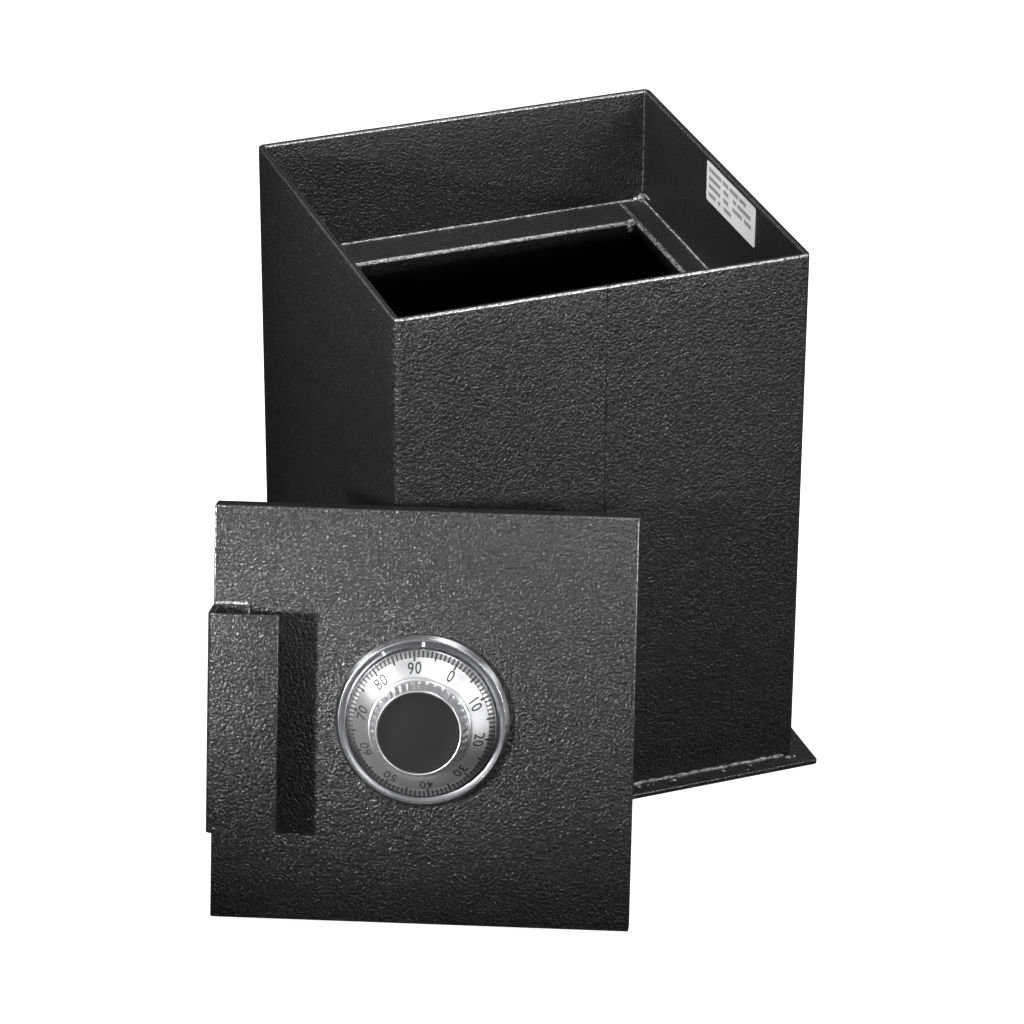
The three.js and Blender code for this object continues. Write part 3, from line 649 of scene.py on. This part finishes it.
# handle: a folded channel
HL, HW, HD, HF, HT, HR = 108.5, 34.3, 25.4, 17.0, 3.0, 3.2
yF, yR = -T_DOOR - HD, -T_DOOR - 0.3
pts = [(-H + HW, yF), (-H + HW, yF + HT)]
pts += arc(-H + HR + 0.4, yF + HT + 0.4, 0.4, 270, 180, 4)
pts += arc(-H + HR + 0.4, yR - HT - 0.4, 0.4, 180, 90, 4)
pts += [(-H + HF, yR - HT), (-H + HF, yR)]
pts += arc(-H + HR, yR - HR, HR, 90, 180, 10)
pts += arc(-H + HR, yF + HR, HR, 180, 270, 10)
bm = bmesh.new()
prism(bm, pts, -HL / 2, HL / 2, lambda u, v, w: (u, v, w))
# the channel's rounded edges take the lighter edge paint: painted highlight
round_edges(bm, 0.45, 2, 55, 1)
finish_piece("handle_channel", bm, ["hammer", "edge"], M_DOOR, "door", 40, ["handle"])

bm = bmesh.new()
yw = -T_DOOR - 0.25
# handle welds in the lighter weld paint: painted highlight
bead(bm, line((-H + 1.5, yw, HL / 2 + 0.3), (-H + HF - 1.0, yw, HL / 2 + 0.3), 0.5), 1.1, 4.0, 0.25, 41.0)
bead(bm, line((-H + 1.5, yw, -HL / 2 - 0.3), (-H + HF - 1.0, yw, -HL / 2 - 0.3), 0.5), 1.1, 4.0, 0.25, 42.0)
lump(bm, (-H + HF - 0.6, yw - 0.2, HL / 2 + 0.2), (1.5, 1.1, 1.5), 1.9, 0.3)
lump(bm, (-H + HF + 0.2, yw, HL / 2 - 6), (0.9, 0.9, 4.5), 2.9, 0.3)
lump(bm, (-H + HF + 0.2, yw, -HL / 2 + 6), (0.9, 0.9, 4.5), 3.9, 0.3)
finish_piece("handle_welds", bm, "weld", M_DOOR, "door", 60)

# dial ring, seen from its own face frame: +Z stands off the door
prof = [(5.6, 0.3), (42.45, 0.3)] + [(42.6, 0.45), (42.6, 2.9)]
prof += arc(41.9, 3.0, 0.7, 0, 38, 4)[1:]
prof += [(40.95, 5.35)] + arc(40.5, 5.55, 0.5, 20, 90, 4)
prof += [(40.15, 6.0), (40.0, 5.55), (39.75, 5.55), (39.6, 5.95)]
prof += [(38.6, 5.78), (37.6, 5.55), (37.25, 5.35), (37.2, 5.2), (37.2, 2.0), (5.6, 2.0), (5.6, 0.3)]
bm = bmesh.new()
lathe(bm, prof, 192)
# the inner band takes the darker band metal: painted shade
for f in bm.faces:
    c = f.calc_center_median()
    if 37.0 < math.hypot(c.x, c.y) < 39.7 and c.z > 2.0:
        f.material_index = 1
ring = finish_piece("ring_body", bm, ["chrome", "ring_band_shaded"], M_FACE, "door", 26, ["dial_ring"])


def surface_strip(bm, a, b, w0, w1, height, lift, n=6):
    """A thin raised mark along a radius: from radius a to b, widths w0 and w1, on the profile height(r)."""
    rows = []
    for i in range(n + 1):
        t = i / n
        r = a + (b - a) * t
        w = (w0 + (w1 - w0) * t) / 2
        rows.append((r, w, height(r)))
    top = [[bm.verts.new((s * w, r, h + lift)) for s in (-1, 1)] for r, w, h in rows]
    bot = [[bm.verts.new((s * w, r, h - 0.12)) for s in (-1, 1)] for r, w, h in rows]
    vs = [v for row in top + bot for v in row]
    for i in range(n):
        bm.faces.new((top[i][0], top[i][1], top[i + 1][1], top[i + 1][0]))
        bm.faces.new((bot[i][1], bot[i][0], bot[i + 1][0], bot[i + 1][1]))
        bm.faces.new((top[i][0], top[i + 1][0], bot[i + 1][0], bot[i][0]))
        bm.faces.new((top[i][1], bot[i][1], bot[i + 1][1], top[i + 1][1]))
    bm.faces.new((top[0][0], bot[0][0], bot[0][1], top[0][1]))
    bm.faces.new((top[n][0], top[n][1], bot[n][1], bot[n][0]))
    return vs


def ring_height(r):
    return np.interp(r, [37.25, 37.6, 38.6, 39.6], [5.35, 5.55, 5.78, 5.95])


bm = bmesh.new()
for a, w in ((0.0, 1.3), (30.0, 1.05)):
    vs = surface_strip(bm, 37.35, 39.55, w, w, ring_height, 0.03)
    bmesh.ops.rotate(bm, verts=vs, cent=(0, 0, 0), matrix=Matrix.Rotation(math.radians(a), 3, "Z"))
finish_piece("ring_indexes", bm, "white_ink", M_FACE, "door", 0)

# dial: edge band, cone, hub
Z0, ZE, ZB, ZT = 4.3, 8.6, 10.2, 19.4
prof = [(0, 15.5), (4.2, 15.5), (4.2, Z0), (7, Z0), (7, 16.6), (23.6, 16.6), (31.6, 7.6), (34.2, Z0), (36.0, Z0), (36.3, Z0 + 0.3)]
prof += [(36.3, ZE - 0.4), (36.12, ZE - 0.05), (35.9, ZE + 0.12)]
prof += [(33.6, ZB - 0.1), (33.2, ZB + 0.1), (32.8, ZB + 0.42)]
cone = lambda r: float(np.interp(r, [25.4, 29.5, 32.8, 33.2, 33.6, 35.9, 36.12, 36.3], [ZT - 0.15, ZB + 0.42 + (32.8 - 29.5) * 1.22, ZB + 0.42, ZB + 0.1, ZB - 0.1, ZE + 0.12, ZE - 0.05, ZE - 0.4]))
prof += [(r, cone(r)) for r in (32.0, 31.0, 30.2, 29.5, 28.5, 27.5, 26.5, 25.7)]
prof += [(25.2, ZT - 0.02), (24.4, ZT), (0, ZT)]
bm = bmesh.new()
lathe(bm, prof, 200)
# the graduation band takes the darker band metal: painted shade
for f in bm.faces:
    c = f.calc_center_median()
    if math.hypot(c.x, c.y) > 33.3:
        f.material_index = 1
finish_piece("dial_body", bm, ["satin", "dial_band_shaded"], M_FACE, "dial", 30, ["dial"])

bm = bmesh.new()
for k in range(100):
    a = 29.2 + 3.6 * k
    inner_r = 31.9 if k % 5 == 0 else 33.0
    if k % 10 == 0:
        inner_r = 31.6
    w = 1.05 if k % 5 == 0 else 0.92
    vs = surface_strip(bm, 36.0, inner_r, w, w * 0.86, cone, 0.035, 7)
    bmesh.ops.rotate(bm, verts=vs, cent=(0, 0, 0), matrix=Matrix.Rotation(math.radians(-a), 3, "Z"))
finish_piece("dial_graduations", bm, "ink", M_FACE, "dial", 0)


def digits(text, size, boldness=0.0):
    cu = bpy.data.curves.new("figures", "FONT")
    cu.body = text
    cu.size = size
    cu.align_x = "CENTER"
    cu.resolution_u = 6
    cu.offset = boldness
    cu.space_character = 1.12
    ob = bpy.data.objects.new("figures", cu)
    bpy.context.scene.collection.objects.link(ob)
    bpy.context.view_layer.update()
    me = bpy.data.meshes.new_from_object(ob.evaluated_get(bpy.context.evaluated_depsgraph_get()))
    bpy.data.objects.remove(ob)
    return me


bm = bmesh.new()
for k in range(10):
    me = digits(str(10 * k), 7.0, 0.05)
    tmp = bmesh.new()
    tmp.from_mesh(me)
    bmesh.ops.triangulate(tmp, faces=tmp.faces[:])
    bmesh.ops.subdivide_edges(tmp, edges=[e for e in tmp.edges if e.calc_length() > 0.9], cuts=1, use_grid_fill=False)
    bmesh.ops.triangulate(tmp, faces=tmp.faces[:])
    zs_ = [v.co.y for v in tmp.verts]
    y0, y1 = min(zs_), max(zs_)
    geom = bmesh.ops.extrude_face_region(tmp, geom=tmp.faces[:])
    top = {v for v in geom["geom"] if isinstance(v, bmesh.types.BMVert)}
    a = math.radians(29.2 + 3.6 * 10 * k)
    index = {}
    for v in tmp.verts:
        r = 28.95 + (v.co.y - (y0 + y1) / 2) / (y1 - y0) * 4.9
        t = a + v.co.x * 0.92 / 29.0
        h = cone(r) + (0.05 if v in top else -0.10)
        index[v] = bm.verts.new((r * math.sin(t), r * math.cos(t), h))
    for f in tmp.faces:
        bm.faces.new([index[v] for v in f.verts])
    tmp.free()
    bpy.data.meshes.remove(me)
finish_piece("dial_figures", bm, "figure_ink", M_FACE, "dial", 0)

# knob: tapered, with forty flutes that run out above its skirt
FL = 40
N = FL * 10
prof = [(0, 19.7), (25.0, 19.7), (25.3, 19.85), (25.4, 20.1), (25.4, 20.45), (25.2, 20.7), (24.6, 20.95), (24.0, 21.2), (23.75, 21.5), (23.62, 21.9)]
taper = lambda h: 23.62 + (20.95 - 23.62) * (h - 21.9) / (29.4 - 21.9)
prof += [(taper(h), h) for h in (22.3, 22.7, 23.2, 23.8, 24.6, 25.6, 26.6, 27.4, 28.0, 28.4, 28.7)]
prof += [(20.98, 29.2), (20.93, 29.65), (20.75, 29.98), (20.4, 30.15), (20.1, 30.05), (20.0, 29.8), (20.0, 28.6), (0, 28.6)]


def flute(h):
    a = min(max((h - 21.7) / 1.3, 0), 1)
    b = min(max((28.9 - h) / 0.9, 0), 1)
    s = lambda x: x * x * (3 - 2 * x)
    return 0.62 * s(a) * s(b)


bm = bmesh.new()
rings = []
for r, z in prof:
    if r < 1e-6:
        rings.append([bm.verts.new((0, 0, z))])
        continue
    row = []
    for i in range(N):
        t = 2 * math.pi * i / N
        d = flute(z) * (0.5 + 0.5 * math.cos(FL * t)) ** 1.3 if 21.5 < z < 28.9 and r > 20.5 else 0.0
        row.append(bm.verts.new(((r - d) * math.cos(t), (r - d) * math.sin(t), z)))
    rings.append(row)
for a, b in zip(rings, rings[1:]):
    for i in range(N):
        j = (i + 1) % N
        q = [a[i % len(a)], a[j % len(a)], b[j % len(b)], b[i % len(b)]]
        q = [v for k, v in enumerate(q) if v not in q[:k]]
        if len(q) > 2:
            bm.faces.new(q)
finish_piece("knob_body", bm, "knob", M_FACE, "dial", 40, ["dial_knob"])

bm = bmesh.new()
lathe(bm, [(0, 28.9), (19.55, 28.9), (19.65, 29.0), (19.7, 29.8), (19.6, 29.98), (19.35, 30.06), (19.0, 30.0), (18.6, 29.9), (12.0, 29.92), (0, 29.94)], 128)
finish_piece("cap_disc", bm, "cap", M_FACE, "dial", 30, ["knob_cap"])

# ---------------------------------------------------- CAD nodes that stay
KEEP = {
    "hard_plate": "hard", "lock_case": "zinc", "lock_cover": "zinc_cover", "wheel_spacer_1": "brass", "wheel_spacer_2": "brass",
    "wheel_clip": "steel", "bolt_guide": "steel", "hook_bar": "steel", "spindle": "steel", "spline_key": "brass", "drive_cam": "brass",
    "wheel_1": "brass", "wheel_2": "brass", "wheel_3": "brass", "lock_bolt": "brass", "bolt_bar": "steel", "lever": "brass",
    "lever_spring": "screw", "lever_screw": "screw", "bolt_bar_screw_1": "screw", "bolt_bar_screw_2": "screw",
    "dial_ring_screw_1": "screw", "dial_ring_screw_2": "screw", "cover_screw_1": "screw", "cover_screw_2": "screw",
    "case_screw_1": "screw", "case_screw_2": "screw", "case_screw_3": "screw", "guide_screw_1": "screw", "guide_screw_2": "screw",
    "hook_screw_1": "screw", "hook_screw_2": "screw",
}
for name, mat in KEEP.items():
    ob = NODES[name]
    ob.data.materials.clear()
    ob.data.materials.append(MAT[mat])

# ------------------------------------------------------------------- stage
bm = bmesh.new()
bmesh.ops.create_grid(bm, x_segments=8, y_segments=8, size=6.0)
me = bpy.data.meshes.new("floor")
bm.to_mesh(me)
bm.free()
floor = bpy.data.objects.new("floor", me)
bpy.context.scene.collection.objects.link(floor)
m, nt, b = new_material("floor_white")
v = object_coords(nt)
k = noise_tex(nt, v, 3.0, 2.0, 0.5)
nt.links.new(ramp(nt, k, [(0.3, 0.86), (0.7, 0.9)]), b.inputs["Base Color"])
b.inputs["Roughness"].default_value = 0.95
b.inputs["Specular IOR Level"].default_value = 0.0
b.inputs["Emission Color"].default_value = (1, 1, 1, 1)
b.inputs["Emission Strength"].default_value = 0.93
me.materials.append(m)
floor.location = (0, 0, -0.0002)
floor.visible_glossy = False
floor.visible_diffuse = False
floor.visible_transmission = False

world = bpy.data.worlds.new("studio")
bpy.context.scene.world = world
world.use_nodes = True
nt = world.node_tree
nt.nodes.clear()
wo = nt.nodes.new("ShaderNodeOutputWorld")
bg = nt.nodes.new("ShaderNodeBackground")
nt.links.new(bg.outputs[0], wo.inputs[0])
tc = nt.nodes.new("ShaderNodeTexCoord")
sep = nt.nodes.new("ShaderNodeSeparateXYZ")
nt.links.new(tc.outputs["Generated"], sep.inputs[0])
zr = map_range(nt, sep.outputs[2], -1.0, 1.0, 0.0, 1.0)
nt.links.new(ramp(nt, zr, [(0.0, 0.36), (0.2, 0.02), (0.46, 0.02), (0.56, 0.10), (0.75, 0.10), (1.0, 0.55)]), bg.inputs["Color"])
bg.inputs["Strength"].default_value = 1.0


def area(name, pos, target, size, power, size_y=None, up=(0, 0, 1)):
    li = bpy.data.lights.new(name, "AREA")
    li.energy = power
    li.shape = "RECTANGLE" if size_y else "SQUARE"
    li.size = size
    if size_y:
        li.size_y = size_y
    ob = bpy.data.objects.new(name, li)
    bpy.context.scene.collection.objects.link(ob)
    z = (Vector(pos) - Vector(target)).normalized()
    y = Vector(up)
    y = (y - z * y.dot(z)).normalized()
    ob.matrix_world = matrix(y.cross(z), y, z, Vector(pos))
    return ob


def spot(name, pos, target, power, angle, blend, radius):
    li = bpy.data.lights.new(name, "SPOT")
    li.energy = power
    li.spot_size = math.radians(angle)
    li.spot_blend = blend
    li.shadow_soft_size = radius
    ob = bpy.data.objects.new(name, li)
    bpy.context.scene.collection.objects.link(ob)
    ob.location = pos
    ob.rotation_mode = "QUATERNION"
    ob.rotation_quaternion = (Vector(target) - Vector(pos)).to_track_quat("-Z", "Y")
    return ob


DOOR_MID = REAR + OUT * 0.0127
KEY_DIR = Vector((-0.814, -0.431, 0.388)).normalized()
KEY = DOOR_MID + KEY_DIR * 1.5
spot("key", KEY, (-0.09, -0.14, 0.25), 128.0, 18.2, 0.5, 0.045)
spot("key_low", KEY, (-0.19, -0.16, 0.11), 95.0, 7.5, 1.0, 0.045)
spot("key_upper", KEY, (0.06, 0.07, 0.31), 130.0, 13.0, 1.0, 0.045)
spot("front_fill", (0.50, -1.60, 0.75), (0.0, -0.11, 0.32), 98.0, 21.0, 1.0, 0.20)
spot("front_fill_left", (-0.35, -1.90, 0.90), (0.0, -0.11, 0.31), 92.0, 17.0, 1.0, 0.20)
area("left_softbox", (-1.34, 0.87, 1.12), (-0.10, -0.15, 0.12), 0.7, 13.5, 0.5)
area("right_softbox", (1.45, -0.54, 0.91), (-0.10, -0.15, 0.12), 0.6, 4.2, 0.5)
area("right_low", (1.52, -0.81, -0.05), (-0.10, -0.15, 0.12), 0.5, 3.0, 0.8)
area("top_softbox", (0.45, -0.20, 1.55), (0.0, 0.0, 0.2), 0.30, 8.0, 1.1, (0, 1, 0))

# ------------------------------------------------------------------ camera
cam_data = bpy.data.cameras.new("camera")
cam = bpy.data.objects.new("camera", cam_data)
bpy.context.scene.collection.objects.link(cam)
bpy.context.scene.camera = cam
cam_data.sensor_fit = "HORIZONTAL"
cam_data.sensor_width = 36.0
cam_data.lens = 4702.49 / 1024 * 36.0
cam_data.clip_start, cam_data.clip_end = 0.05, 60.0
az, el, roll = (math.radians(x) for x in (20.42085, 28.67728, 0.28999))
fwd = Vector((math.sin(az) * math.cos(el), math.cos(az) * math.cos(el), -math.sin(el)))
rgt = Vector((math.cos(az), -math.sin(az), 0.0))
dwn = fwd.cross(rgt)
r2 = rgt * math.cos(roll) - dwn * math.sin(roll)
d2 = rgt * math.sin(roll) + dwn * math.cos(roll)
cam.matrix_world = matrix(r2, -d2, -fwd, Vector((-0.757119, -2.013098, 1.286436)))

scene = bpy.context.scene
scene.view_settings.view_transform = "Standard"
scene.view_settings.look = "None"
scene.view_settings.exposure = 0.0
scene.view_settings.gamma = 1.0
